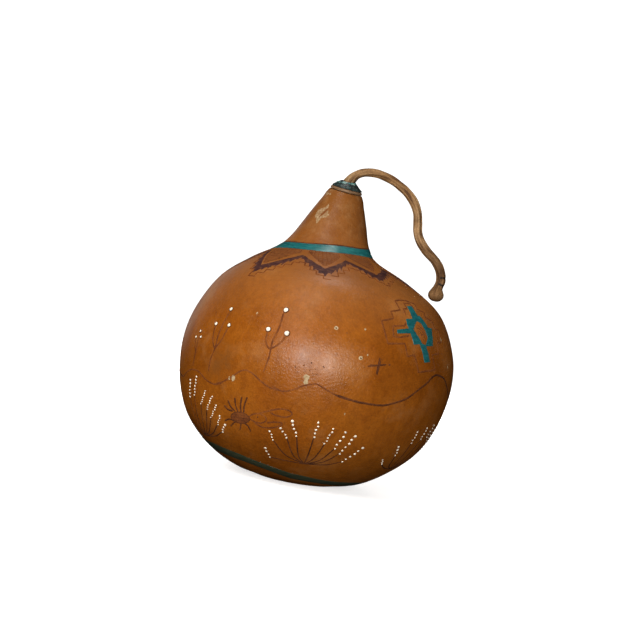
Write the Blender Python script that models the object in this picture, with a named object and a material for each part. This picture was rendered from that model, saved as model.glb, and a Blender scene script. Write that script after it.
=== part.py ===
"""A gourd rattle: a dried bottle gourd with its own stem for a handle and loose seeds inside.

Run with: blender --background --python part.py
Units are metres, +Z is up, and the origin is the middle of the flat foot.
The front of the rattle faces -Y, and its stem curls over to +X.
"""

import math

import bmesh
import bpy
from mathutils import Matrix, Vector

MM = 0.001
FIT_GAP = 0.3 * MM

# The gourd
BELLY_RADIUS = 90 * MM
BELLY_HEIGHT = 75 * MM
WALL = 4.5 * MM
AROUND = 48

# Its outline from the foot's rim up to the cut at the neck's tip: (radius, height, x, y).
# It grew a little crooked, so x and y say where its axis stands at that height.
OUTLINE = [
    (26 * MM, 0.0, 0.0, 0.0),
    (42 * MM, 3.6 * MM, -0.3 * MM, 0.0),
    (59.5 * MM, 13.4 * MM, -0.4 * MM, 0.0),
    (76 * MM, 29.4 * MM, 0.2 * MM, 0.0),
    (86 * MM, 50.2 * MM, 1.0 * MM, 0.0),
    (BELLY_RADIUS, BELLY_HEIGHT, 1.9 * MM, 0.0),
    (86.5 * MM, 98 * MM, 2.5 * MM, 0.0),
    (74 * MM, 122 * MM, 2.4 * MM, 0.0),
    (53.5 * MM, 138 * MM, -0.6 * MM, -0.4 * MM),
    (34 * MM, 149 * MM, -3.9 * MM, -0.8 * MM),
    (26.5 * MM, 158 * MM, -3.2 * MM, -1.4 * MM),
    (20 * MM, 173 * MM, -1.0 * MM, -2.6 * MM),
    (14.6 * MM, 185 * MM, 0.6 * MM, -3.8 * MM),
    (10.2 * MM, 191.5 * MM, 1.1 * MM, -4.5 * MM),
]
OUTER_STEPS = 3
INNER_STEPS = 2
TIP_LEAN_RIGHT = math.radians(6)
TIP_LEAN_FORWARD = math.radians(13)
TIP_LEAN_FROM = 149 * MM
TIP_HEIGHT = OUTLINE[-1][1]

# The mouth at the neck's tip. The cap's outline is (radius, height over the mouth).
MOUTH_RADIUS = 6.3 * MM
MOUTH_DEPTH = 9 * MM
CAP_AROUND = 32
TENON_RADIUS = MOUTH_RADIUS - FIT_GAP
TENON_LENGTH = 8 * MM
SOCKET_RADIUS = 2.4 * MM
SOCKET_FLOOR = FIT_GAP
CAP_TOP = 6.3 * MM
CAP_OUTLINE = [
    (0.0, -TENON_LENGTH),
    (TENON_RADIUS - 0.5 * MM, -TENON_LENGTH),
    (TENON_RADIUS, -TENON_LENGTH + 0.5 * MM),
    (TENON_RADIUS, FIT_GAP),
    (9.6 * MM, FIT_GAP),
    (10.1 * MM, 0.9 * MM),
    (10.2 * MM, 1.5 * MM),
    (9.8 * MM, 2.1 * MM),
    (8.9 * MM, 2.5 * MM),
    (4.6 * MM, 6.0 * MM),
    (4.6 * MM, CAP_TOP),
    (SOCKET_RADIUS, CAP_TOP),
    (SOCKET_RADIUS, SOCKET_FLOOR),
    (0.0, SOCKET_FLOOR),
]
# The inlay ring's section, anticlockwise: (radius, height over the mouth)
INLAY_SECTION = [
    (9.1 * MM, 2.8 * MM),
    (9.5 * MM, 3.0 * MM),
    (9.2 * MM, 3.5 * MM),
    (7.5 * MM, 5.3 * MM),
    (5.8 * MM, 6.7 * MM),
    (5.1 * MM, 6.8 * MM),
    (5.0 * MM, 6.2 * MM),
]

# The stem's route above its foot: (x, y, z)
STEM_ROUTE = [
    (4.1 * MM, -6.4 * MM, 201.3 * MM),
    (7.2 * MM, -6.5 * MM, 204.1 * MM),
    (11.4 * MM, -6.3 * MM, 206.1 * MM),
    (17.0 * MM, -5.8 * MM, 206.9 * MM),
    (23.3 * MM, -5.0 * MM, 206.4 * MM),
    (30.0 * MM, -4.0 * MM, 204.7 * MM),
    (36.7 * MM, -2.9 * MM, 201.6 * MM),
    (42.8 * MM, -1.8 * MM, 197.2 * MM),
    (47.6 * MM, -0.8 * MM, 192.0 * MM),
    (50.4 * MM, 0.2 * MM, 186.6 * MM),
    (51.8 * MM, 1.0 * MM, 180.4 * MM),
    (52.9 * MM, 1.6 * MM, 174.2 * MM),
    (55.9 * MM, 1.8 * MM, 168.2 * MM),
    (61.2 * MM, 1.6 * MM, 162.5 * MM),
    (67.5 * MM, 1.2 * MM, 157.2 * MM),
    (71.8 * MM, 0.6 * MM, 151.2 * MM),
    (73.2 * MM, 0.2 * MM, 144.8 * MM),
    (71.9 * MM, 0.0, 138.6 * MM),
    (71.6 * MM, 0.0, 130.8 * MM),
]
STEM_STEPS = 4
STEM_AROUND = 12
STEM_RADIUS = 3.1 * MM
STEM_END_RADIUS = 3.6 * MM
STEM_FOOT_RADIUS = 4.4 * MM
STEM_FOOT_LENGTH = 8 * MM
KNOB_RADIUS = 5.1 * MM
KNOB_LENGTH = 10 * MM
KNOB_SWELL = 0.55  # the share of the knob in which it swells to its full radius
KNOB_ROUND_FROM = 0.6  # the share from which its end rounds off
KNOB_ROUND_LENGTH = 0.43
ROOT_RADIUS = SOCKET_RADIUS - FIT_GAP
ROOT_LENGTH = CAP_TOP - SOCKET_FLOOR - FIT_GAP

# The loose seeds, spread over the floor by the golden angle so that no two touch
SEED_COUNT = 24
SEED_SPREAD = 8.9 * MM
GOLDEN_ANGLE = math.pi * (3 - math.sqrt(5))
SEED_LENGTH = 14 * MM
SEED_TURN = 2.4  # radians from one seed's heading to the next one's
SLOPE_REACH = 2 * MM  # how far to each side of a seed the floor's slope is measured
# Sections along a seed: (share of its length, half width, half thickness)
SEED_SECTIONS = [
    (-0.50, 1.6 * MM, 0.6 * MM),
    (-0.38, 2.7 * MM, 1.2 * MM),
    (-0.05, 3.5 * MM, 1.6 * MM),
    (0.28, 3.7 * MM, 1.5 * MM),
    (0.44, 3.2 * MM, 1.1 * MM),
    (0.50, 1.7 * MM, 0.6 * MM),
]
SEED_AROUND = 8

COLOURS = {  # (red, green, blue), roughness
    "gourd_shell": ((0.33, 0.135, 0.03), 0.35),
    "neck_cap": ((0.30, 0.14, 0.045), 0.4),
    "crown_inlay": ((0.02, 0.06, 0.06), 0.3),
    "stem": ((0.24, 0.13, 0.055), 0.7),
    "seed": ((0.55, 0.42, 0.25), 0.65),
}


def clear_scene():
    """Removes the objects that the file opened with."""
    for obj in list(bpy.data.objects):
        bpy.data.objects.remove(obj, do_unlink=True)


def material(name):
    """The Principled material of one kind of part."""
    if name in bpy.data.materials:
        return bpy.data.materials[name]
    colour, roughness = COLOURS[name]
    made = bpy.data.materials.new(name)
    made.use_nodes = True
    shader = made.node_tree.nodes["Principled BSDF"]
    shader.inputs["Base Color"].default_value = (*colour, 1)
    shader.inputs["Roughness"].default_value = roughness
    shader.inputs["Metallic"].default_value = 0
    return made


def curve_through(points, steps):
    """A Catmull-Rom curve through the points, at equal steps between neighbours."""
    points = [Vector(p) for p in points]
    ends = [2 * points[0] - points[1], *points, 2 * points[-1] - points[-2]]
    curve = []
    for i in range(1, len(points)):
        before, here, there, after = ends[i - 1 : i + 3]
        for k in range(steps):
            t = k / steps
            linear = (there - before) * t
            square = (2 * before - 5 * here + 4 * there - after) * t**2
            cube = (3 * here - before - 3 * there + after) * t**3
            curve.append((2 * here + linear + square + cube) / 2)
    return [*curve, points[-1]]


def smooth_step(value, low, high):
    """0 below low, 1 above high, and a smooth rise between them."""
    t = min(1.0, max(0.0, (value - low) / (high - low)))
    return t * t * (3 - 2 * t)


def circle(radius, height, count):
    """A level ring of points round the local Z axis."""
    angles = [2 * math.pi * i / count for i in range(count)]
    return [Vector((radius * math.cos(a), radius * math.sin(a), height)) for a in angles]


def gourd_frame(height, x, y):
    """The place and tilt of the gourd's axis at a height."""
    tilt = smooth_step(height, TIP_LEAN_FROM, TIP_HEIGHT)
    right = Matrix.Rotation(TIP_LEAN_RIGHT * tilt, 4, "Y")
    forward = Matrix.Rotation(TIP_LEAN_FORWARD * tilt, 4, "X")
    return Matrix.Translation((x, y, height)) @ right @ forward


def mouth_frame():
    """The place and tilt of the cut at the neck's tip."""
    return gourd_frame(*OUTLINE[-1][1:])


def add_object(name, mesh, kind, parent):
    """Puts a mesh in the scene as one named part."""
    obj = bpy.data.objects.new(name, mesh)
    bpy.context.scene.collection.objects.link(obj)
    if not mesh.materials:
        mesh.materials.append(material(kind))
    obj.parent = parent
    return obj


def skin(name, rings, sharp_degrees=40):
    """A closed mesh over rings of points. A ring of one point is a pole; other ends are flat."""
    bm = bmesh.new()
    made = [[bm.verts.new(p) for p in ring] for ring in rings]
    for a, b in zip(made, made[1:]):
        for i in range(max(len(a), len(b))):
            corners = [a[i % len(a)], a[(i + 1) % len(a)], b[(i + 1) % len(b)], b[i % len(b)]]
            bm.faces.new(list(dict.fromkeys(corners)))
    for end in (made[0], made[-1]):
        if len(end) > 1:
            bm.faces.new(end)
    bmesh.ops.recalc_face_normals(bm, faces=bm.faces)
    return finish_mesh(name, bm, sharp_degrees)


def finish_mesh(name, bm, sharp_degrees):
    """Turns a bmesh into a smooth-shaded mesh with its sharp edges kept."""
    mesh = bpy.data.meshes.new(name)
    bm.to_mesh(mesh)
    bm.free()
    mesh.shade_smooth()
    mesh.set_sharp_from_angle(angle=math.radians(sharp_degrees))
    return mesh


def turned(name, outline, count):
    """A solid turned round the local Z axis. An outline point on the axis is a pole."""
    rings = []
    for radius, height in outline:
        rings.append(circle(radius, height, count) if radius else [Vector((0, 0, height))])
    return skin(name, rings)


def turned_ring(name, section, count):
    """A ring whose section is swept all the way round the local Z axis."""
    bm = bmesh.new()
    hoops = [[bm.verts.new(p) for p in circle(r, z, count)] for r, z in section]
    for a, b in zip(hoops, hoops[1:] + hoops[:1]):
        for i in range(count):
            j = (i + 1) % count
            bm.faces.new((a[i], a[j], b[j], b[i]))
    bmesh.ops.recalc_face_normals(bm, faces=bm.faces)
    return finish_mesh(name, bm, 40)


def inner_outline():
    """The cavity's outline, one wall in from the gourd's, from below the mouth down to the floor."""
    outer = curve_through(OUTLINE, INNER_STEPS)
    inner = []
    for before, here, after in zip(outer, outer[1:], outer[2:]):
        along = (after.xy - before.xy).normalized()
        radius = here.x - along.y * WALL
        height = here.y + along.x * WALL
        if WALL < height < TIP_HEIGHT - MOUTH_DEPTH - 2 * WALL:
            inner.append((radius, height, here.z, here.w))
    return [*reversed(inner), (OUTLINE[0][0], WALL, 0.0, 0.0)]


def gourd_shell(parent):
    """The gourd itself: one hollow piece, open only at its mouth."""
    rings = []
    for radius, height, x, y in curve_through(OUTLINE, OUTER_STEPS):
        rings.append([gourd_frame(height, x, y) @ p for p in circle(radius, 0, AROUND)])
    for depth in (0, MOUTH_DEPTH):
        rings.append([mouth_frame() @ p for p in circle(MOUTH_RADIUS, -depth, AROUND)])
    for radius, height, x, y in inner_outline():
        rings.append([gourd_frame(height, x, y) @ p for p in circle(radius, 0, AROUND)])
    return add_object("gourd_shell", skin("gourd_shell", rings), "gourd_shell", parent)


def neck_cap(mouth):
    """The plug in the mouth, with a socket for the stem's root."""
    mesh = turned("neck_cap", CAP_OUTLINE, CAP_AROUND)
    return add_object("neck_cap", mesh, "neck_cap", mouth)


def crown_inlay(mouth):
    """The dark stone-inlaid ring that lies on the cap's shoulder round the stem."""
    mesh = turned_ring("crown_inlay", INLAY_SECTION, CAP_AROUND)
    return add_object("crown_inlay", mesh, "crown_inlay", mouth)


def stem_radius(along, length):
    """The stem's radius: flared at its foot, a little thicker towards its end, and a knob there."""
    body = STEM_RADIUS + (STEM_END_RADIUS - STEM_RADIUS) * along / length
    foot = (STEM_FOOT_RADIUS - STEM_RADIUS) * (1 - smooth_step(along, 0, STEM_FOOT_LENGTH))
    t = max(0.0, (along - length + KNOB_LENGTH) / KNOB_LENGTH)
    knob = (KNOB_RADIUS - STEM_END_RADIUS) * smooth_step(t, 0, KNOB_SWELL)
    rounded = math.sqrt(max(0.0, 1 - (max(0.0, t - KNOB_ROUND_FROM) / KNOB_ROUND_LENGTH) ** 2))
    return (body + foot + knob) * rounded


def stem(parent):
    """The dry, crooked stem with the root that plugs into the cap."""
    mouth = mouth_frame()
    foot = mouth @ Vector((0, 0, CAP_TOP + FIT_GAP))
    up = (mouth.to_3x3() @ Vector((0, 0, 1))).normalized()
    route = curve_through([foot, *STEM_ROUTE], STEM_STEPS)
    lengths = [0.0]
    for a, b in zip(route, route[1:]):
        lengths.append(lengths[-1] + (b - a).length)
    turn = mouth.to_3x3()
    heading = up
    root_end = foot - up * (ROOT_LENGTH + FIT_GAP)
    rings = [[root_end + turn @ p for p in circle(ROOT_RADIUS, 0, STEM_AROUND)]]
    rings.append([foot + turn @ p for p in circle(ROOT_RADIUS, 0, STEM_AROUND)])
    for i, point in enumerate(route):
        ahead = (route[min(i + 1, len(route) - 1)] - route[max(i - 1, 0)]).normalized()
        ahead = up.lerp(ahead, smooth_step(lengths[i], 0, STEM_FOOT_LENGTH)).normalized()
        turn = heading.rotation_difference(ahead).to_matrix() @ turn
        heading = ahead
        radius = stem_radius(lengths[i], lengths[-1])
        rings.append([point + turn @ p for p in circle(radius, 0, STEM_AROUND)])
    return add_object("stem", skin("stem", rings, 50), "stem", parent)


def seed_mesh():
    """One gourd seed lying flat, with its length along X and its middle at the origin."""
    rings = []
    for share, half_width, half_thickness in SEED_SECTIONS:
        ring = []
        for i in range(SEED_AROUND):
            angle = 2 * math.pi * (i + 0.5) / SEED_AROUND
            y = half_width * math.cos(angle)
            z = half_thickness * math.sin(angle)
            ring.append(Vector((share * SEED_LENGTH, y, z)))
        rings.append(ring)
    return skin("seed", rings, 60)


def floor_height(point, cavity):
    """How high the cavity's floor is under a point."""
    for high, low in zip(reversed(cavity[:-1]), reversed(cavity)):
        radius = math.hypot(point.x - low[2], point.y - low[3])
        if radius <= high[0]:
            share = max(0.0, (radius - low[0]) / (high[0] - low[0]))
            return low[1] + (high[1] - low[1]) * share
    return high[1]


def seeds(parent):
    """The loose seeds, each lying on the floor of the gourd just as it fell."""
    mesh = seed_mesh()
    cavity = [p for p in inner_outline() if p[1] < BELLY_HEIGHT]
    for k in range(SEED_COUNT):
        radius = SEED_SPREAD * math.sqrt(k + 0.5)
        angle = k * GOLDEN_ANGLE
        outward = Matrix.Rotation(angle, 4, "Z")
        near, far = (outward @ Vector((radius + d, 0, 0)) for d in (-SLOPE_REACH, SLOPE_REACH))
        rise = floor_height(far, cavity) - floor_height(near, cavity)
        slope = math.atan2(rise, 2 * SLOPE_REACH)
        tipped = Matrix.Rotation(-slope, 4, "Y")
        yaw = Matrix.Rotation(SEED_TURN * k, 4, "Z")
        pose = outward @ Matrix.Translation((radius, 0, 0)) @ tipped @ yaw
        corners = [pose @ v.co for v in mesh.vertices]
        lift = max(floor_height(p, cavity) - p.z for p in corners)
        obj = add_object(f"seed_{k + 1:02d}", mesh, "seed", parent)
        obj.matrix_local = Matrix.Translation((0, 0, lift + FIT_GAP)) @ pose


def main():
    clear_scene()
    rattle = bpy.data.objects.new("rattle", None)
    mouth = bpy.data.objects.new("mouth", None)
    for empty in (rattle, mouth):
        bpy.context.scene.collection.objects.link(empty)
    mouth.parent = rattle
    mouth.matrix_local = mouth_frame()
    gourd_shell(rattle)
    neck_cap(mouth)
    crown_inlay(mouth)
    stem(rattle)
    seeds(rattle)


main()
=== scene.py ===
"""The looks of the gourd rattle: its dyed, varnished rind with burnt lines and painted bands and
dots, the inlaid crown, the dry ribbed stem, and the loose seeds inside.

A place on the gourd is (angle, length): degrees round it, 0 at the front and growing towards +X,
and millimetres along its outline, up from the foot's rim.
"""

import math
import random

import bmesh
import bpy
import numpy as np
from mathutils import Matrix, Vector, noise


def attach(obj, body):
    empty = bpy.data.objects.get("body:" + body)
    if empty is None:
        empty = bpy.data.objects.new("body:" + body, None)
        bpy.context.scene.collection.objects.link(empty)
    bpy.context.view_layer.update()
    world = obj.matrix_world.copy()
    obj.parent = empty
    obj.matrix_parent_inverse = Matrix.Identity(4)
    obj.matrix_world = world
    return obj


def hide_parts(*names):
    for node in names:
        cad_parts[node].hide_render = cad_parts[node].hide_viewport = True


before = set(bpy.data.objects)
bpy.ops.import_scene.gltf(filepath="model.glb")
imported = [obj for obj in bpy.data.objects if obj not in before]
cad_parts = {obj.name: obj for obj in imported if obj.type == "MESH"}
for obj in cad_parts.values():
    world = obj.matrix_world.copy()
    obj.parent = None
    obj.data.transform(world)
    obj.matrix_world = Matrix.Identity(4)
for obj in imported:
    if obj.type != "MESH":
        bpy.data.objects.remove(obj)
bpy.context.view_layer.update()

MM = 0.001

# The gourd's outline and lean, as the part has them, in mm: (radius, height, x, y)
OUTLINE = [
    (26, 0, 0, 0), (42, 3.6, -0.3, 0), (59.5, 13.4, -0.4, 0), (76, 29.4, 0.2, 0), (86, 50.2, 1.0, 0),
    (90, 75, 1.9, 0), (86.5, 98, 2.5, 0), (74, 122, 2.4, 0), (53.5, 138, -0.6, -0.4), (34, 149, -3.9, -0.8),
    (26.5, 158, -3.2, -1.4), (20, 173, -1.0, -2.6), (14.6, 185, 0.6, -3.8), (10.2, 191.5, 1.1, -4.5),
]
LEAN_RIGHT = math.radians(6)
LEAN_FORWARD = math.radians(13)
LEAN_FROM = 149
TIP_HEIGHT = 191.5
WALL = 4.5
MOUTH_RADIUS = 6.3
MOUTH_DEPTH = 9
CAP_TOP = 6.3
FIT_GAP = 0.3

# The crown's outer face, in mm: (radius, height over the mouth)
CROWN_FACE = [(9.85, 3.0), (8.9, 3.9), (7.6, 4.9), (6.4, 5.9), (5.4, 6.65), (4.8, 7.0)]

TURNED_AROUND = 96
CHIP_COUNT = 38
CHIP_TURN = 2.39996  # from one chip to the next, in radians; with the share below it spreads them evenly
CHIP_SHARE = 0.618
CHIP_FACING = Vector((0.7, 0, 0.71))
CHIP_SHADES = [(0, (0.02, 0.075, 0.08)), (0.4, (0.05, 0.16, 0.16)), (0.7, (0.14, 0.26, 0.24))]
CHIP_SHADES += [(1, (0.34, 0.4, 0.36))]

# How finely the rind is made, and how far it lies inside the part's skin to make room for paint
RIND_AROUND = 224
RIND_STEP = 1.4
RIND_INSET = 0.55
FOOT_BLEND = 10
TIP_FLARE = 1.15  # how far the rind swells back out below the mouth, to meet the turned ring
TIP_BLEND = 9
SWELL_SIZE = 48
SWELL_HEIGHT = 0.28
RIPPLE_SIZE = 11
RIPPLE_HEIGHT = 0.05

# The stem's route above its foot, as the part has it, in mm
STEM_ROUTE = [
    (4.1, -6.4, 201.3), (7.2, -6.5, 204.1), (11.4, -6.3, 206.1), (17.0, -5.8, 206.9), (23.3, -5.0, 206.4),
    (30.0, -4.0, 204.7), (36.7, -2.9, 201.6), (42.8, -1.8, 197.2), (47.6, -0.8, 192.0), (50.4, 0.2, 186.6),
    (51.8, 1.0, 180.4), (52.9, 1.6, 174.2), (55.9, 1.8, 168.2), (61.2, 1.6, 162.5), (67.5, 1.2, 157.2),
    (71.8, 0.6, 151.2), (73.2, 0.2, 144.8), (71.9, 0.0, 138.6), (71.6, 0.0, 130.8),
]
STEM_STEPS = 16
STEM_AROUND = 48
STEM_RADIUS = 3.0
STEM_END_RADIUS = 3.5
STEM_FOOT_RADIUS = 4.3
STEM_FOOT_LENGTH = 8
KNOB_RADIUS = 5.3
KNOB_LENGTH = 10
STEM_RIDGES = 7
STEM_ROOT_DEPTH = 5.9  # how far its root goes down into the plug
STEM_ROOT_RADII = (2.0, 2.1)
STEM_SCARS = (11.4, 15.8)  # where two dark scars are cut into one side, in mm back from its end
# How its bark darkens from its foot, 0, to its end, 1; the dark first stop is painted shade where it rises
# out of the crown
STEM_TONES_AND_FOOT_SHADE = [(0, 0.6), (0.06, 0.95), (0.2, (0.8, 0.72, 0.62)), (0.45, 1.04), (0.6, 1.08)]
STEM_TONES_AND_FOOT_SHADE += [(0.76, (0.5, 0.44, 0.38)), (0.92, (0.5, 0.44, 0.38)), (0.97, (0.58, 0.52, 0.46))]

# A seed's sections along it: (share of its half length, of its half width, of its half thickness)
SEED_SECTIONS = [(-0.985, 0.18, 0.3), (-0.9, 0.48, 0.55), (-0.7, 0.72, 0.8), (-0.3, 0.9, 0.96)]
SEED_SECTIONS += [(0.15, 0.97, 0.97), (0.55, 0.95, 0.9), (0.85, 0.8, 0.72), (0.985, 0.4, 0.4)]
SEED_AROUND = 24

BURN_STEP = 1.1
BURN_SHAKE = 0.25  # how much a burnt line's width wavers
# A burnt line's section: (share of its half width, mm above the rind)
BURN_SECTION = [(-1.3, -0.3), (-0.75, 0.06), (0.0, 0.025), (0.75, 0.06), (1.3, -0.3)]
PAINT_STEP = 1.5
PAINT_THICKNESS = 0.13
PAINT_UNDER = -0.3
BLOT_CORNERS = 14

# Where the dye is stained darker, and where it is scuffed pale: (angle, length, reach in mm)
STAINS = [(-39, 102, 17), (-50, 66, 9), (118, 128, 20), (200, 90, 18)]
SCUFFED = [(-66, 141, 12), (-71, 126, 12), (-66, 251, 6), (54, 151, 7), (75, 143, 12), (170, 140, 14)]

FLOOR_GAP = 0.0001
FLOOR_GLOW = 0.66
WALL_GLOW = 1.0
STAGE_REACH = 850  # how far from the rattle the floor's glow comes up to the wall's, in mm
STAGE_ROWS = [(0.02, -FLOOR_GAP), (0.6, -FLOOR_GAP), (1.2, -FLOOR_GAP), (1.6, 0.03), (1.9, 0.15)]
STAGE_ROWS += [(2.1, 0.4), (2.2, 0.8), (2.2, 2.6)]  # (radius, height) in metres
STUDIO_GLOW = 0.15
LAMP_COLOUR = (1.0, 0.96, 0.92)
LAMP_TARGET = Vector((0, 0, 0.085))
CAMERA_LENS = 52.7
CAMERA_PLACE = Vector((0.002, -0.62, 0.0832))
CAMERA_TARGET = Vector((-0.0011, 0, 0.1054))
CAMERA_ROLL = math.radians(10)

random.seed(11)


# --- The gourd's skin


def smooth_step(value, low, high):
    """0 below low, 1 above high, and a smooth rise between them."""
    t = np.clip((value - low) / (high - low), 0, 1)
    return t * t * (3 - 2 * t)


def curve_through(points, steps):
    """A Catmull-Rom curve through the points, at equal steps between neighbours."""
    points = np.array(points, float)
    ends = np.vstack([2 * points[0] - points[1], points, 2 * points[-1] - points[-2]])
    curve = []
    for before, here, there, after in zip(ends, ends[1:], ends[2:], ends[3:]):
        for t in np.arange(steps) / steps:
            square = (2 * before - 5 * here + 4 * there - after) * t**2
            cube = (3 * here - before - 3 * there + after) * t**3
            curve.append((2 * here + (there - before) * t + square + cube) / 2)
    return np.array([*curve, points[-1]])


PROFILE = curve_through(OUTLINE, 24)
LENGTHS = np.concatenate([[0], np.cumsum(np.hypot(*np.diff(PROFILE[:, :2], axis=0).T))])
TOP_LENGTH = LENGTHS[-1]


def radius_at(length):
    """The gourd's radius, in mm."""
    return np.interp(length, LENGTHS, PROFILE[:, 0])


def ring_point(angle, radius, height, x, y):
    """A point beside the gourd's leaning axis, in mm."""
    tilt = smooth_step(height, LEAN_FROM, TIP_HEIGHT)
    turn = np.radians(angle)
    across = radius * np.sin(turn)
    back = -radius * np.cos(turn)
    forward = LEAN_FORWARD * tilt
    right = LEAN_RIGHT * tilt
    rise = back * np.sin(forward)
    place = [
        across * np.cos(right) + rise * np.sin(right) + x,
        back * np.cos(forward) + y,
        rise * np.cos(right) - across * np.sin(right) + height,
    ]
    return np.stack(np.broadcast_arrays(*place), axis=-1)


def bare_point(angle, length):
    """A point of the part's own outline, in mm."""
    return ring_point(angle, *(np.interp(length, LENGTHS, PROFILE[:, k]) for k in range(4)))


def outward(angle, length):
    """The unit normal of the gourd's skin."""
    around = bare_point(angle + 0.5, length) - bare_point(angle - 0.5, length)
    up = bare_point(angle, np.minimum(length + 0.5, TOP_LENGTH))
    along = up - bare_point(angle, np.maximum(length - 0.5, 0))
    normal = np.cross(around, along)
    return normal / np.linalg.norm(normal, axis=-1, keepdims=True)


def relief(point):
    """How far the grown rind swells or dips at a point, in mm."""
    place = Vector(point)
    swell = noise.noise(place / SWELL_SIZE) * SWELL_HEIGHT
    return swell + noise.noise(place / RIPPLE_SIZE) * RIPPLE_HEIGHT


def on_gourd(angle, length, lift=0.0):
    """Points on the rind, in metres, lifted off it by so many mm."""
    angle, length = np.broadcast_arrays(np.atleast_1d(angle), np.atleast_1d(length))
    place = bare_point(angle, length)
    grown = np.array([relief(p) for p in place]) - RIND_INSET
    grown = grown + TIP_FLARE * smooth_step(length, TOP_LENGTH - TIP_BLEND, TOP_LENGTH - 1)
    offset = grown * smooth_step(length, 0, FOOT_BLEND) + lift
    return (place + outward(angle, length) * offset[:, None]) * MM


def mouth_matrix():
    """The place and tilt of the cut at the neck's tip, in metres."""
    right = Matrix.Rotation(LEAN_RIGHT, 4, "Y")
    forward = Matrix.Rotation(LEAN_FORWARD, 4, "X")
    place = Vector((OUTLINE[-1][2], OUTLINE[-1][3], OUTLINE[-1][1])) * MM
    return Matrix.Translation(place) @ right @ forward


# --- Meshes


def quads_between(first, second, count):
    """Faces between two rings of points that start at these numbers."""
    sides = [(i, (i + 1) % count) for i in range(count)]
    return [(first + i, first + j, second + j, second + i) for i, j in sides]


class Shapes:
    """Collects closed shapes that become one mesh."""

    def __init__(self):
        self.points = []
        self.faces = []

    def add(self, points, faces):
        start = len(self.points)
        self.points.extend(tuple(p) for p in points)
        self.faces.extend(tuple(start + i for i in face) for face in faces)

    def tube(self, rings, loop=False):
        """A closed shape over rings of equal count: flat at both ends, or looped back to the first."""
        count = len(rings[0])
        last = len(rings) - 1
        faces = []
        for k in range(last + loop):
            faces += quads_between(k * count, (k + 1) % len(rings) * count, count)
        if not loop:
            faces += [tuple(range(count)), tuple(range(last * count, len(rings) * count))]
        self.add([p for ring in rings for p in ring], faces)

    def dome(self, centre, rings, under):
        """A closed shape from a top point down over rings to a point under it."""
        count = len(rings[0])
        bottom = 1 + len(rings) * count
        faces = []
        for i in range(count):
            j = (i + 1) % count
            faces.append((0, 1 + i, 1 + j))
            faces.append((bottom, bottom - count + j, bottom - count + i))
        for k in range(len(rings) - 1):
            faces += quads_between(1 + k * count, 1 + (k + 1) * count, count)
        self.add([centre, *(p for ring in rings for p in ring), under], faces)

    def mesh(self, name, sharp=50):
        mesh = bpy.data.meshes.new(name)
        mesh.from_pydata(self.points, [], self.faces)
        bm = bmesh.new()
        bm.from_mesh(mesh)
        bmesh.ops.recalc_face_normals(bm, faces=bm.faces)
        bm.to_mesh(mesh)
        bm.free()
        mesh.shade_smooth()
        mesh.set_sharp_from_angle(angle=math.radians(sharp))
        return mesh


def new_object(name, data):
    obj = bpy.data.objects.new(name, data)
    bpy.context.scene.collection.objects.link(obj)
    return obj


def piece(name, mesh, body="rattle", replaces=None):
    """Puts a finished mesh on a body as one named piece."""
    obj = new_object(name, mesh)
    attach(obj, body)
    if replaces:
        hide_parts(replaces)


def on_rattle(name, shapes, look, sharp=50, replaces=None):
    """A piece of one material that rides on the rattle."""
    mesh = shapes.mesh(name, sharp)
    mesh.materials.append(look)
    piece(name, mesh, replaces=replaces)


# --- Drawing on the gourd


def sampled(path, corners):
    """Angles and lengths at short steps along a path: a soft curve, or straight strokes."""
    path = np.array(path, float)
    found = []
    for k in range(len(path) - 1):
        here, there = path[k], path[k + 1]
        radius = radius_at((here[1] + there[1]) / 2)
        reach = math.hypot(math.radians(there[0] - here[0]) * radius, there[1] - here[1])
        count = max(1, math.ceil(reach / BURN_STEP))
        shares = np.arange(count) / count
        if corners:
            found.append(here + (there - here) * shares[:, None])
        else:
            near = path[max(k - 1, 0) : k + 3]
            if k == 0:
                near = np.vstack([2 * here - there, near])
            if k + 3 > len(path):
                near = np.vstack([near, 2 * there - here])
            found.append(curve_through(near, count)[count : 2 * count])
    found.append(path[-1:])
    return np.vstack(found).T


def burn(shapes, path, width, corners=False):
    """A burnt line: a shallow groove with a low lip on each side, uneven as a hand draws it."""
    angle, length = sampled(path, corners)
    radius = radius_at(length)
    across = np.gradient(np.radians(angle)) * radius
    along = np.gradient(length)
    reach = np.hypot(across, along) + 1e-9
    seeds = zip(angle * 0.31, length * 0.23)
    pressure = np.array([noise.noise(Vector((a, b, width))) for a, b in seeds])
    half = width / 2 * (1 + BURN_SHAKE * pressure)
    half[[0, -1]] *= 0.55
    rows = []
    for share, lift in BURN_SECTION:
        shift = half * share
        turned = angle + np.degrees(-along / reach * shift / radius)
        rows.append(on_gourd(turned, length + across / reach * shift, lift))
    shapes.tube([list(ring) for ring in zip(*rows)])


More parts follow.
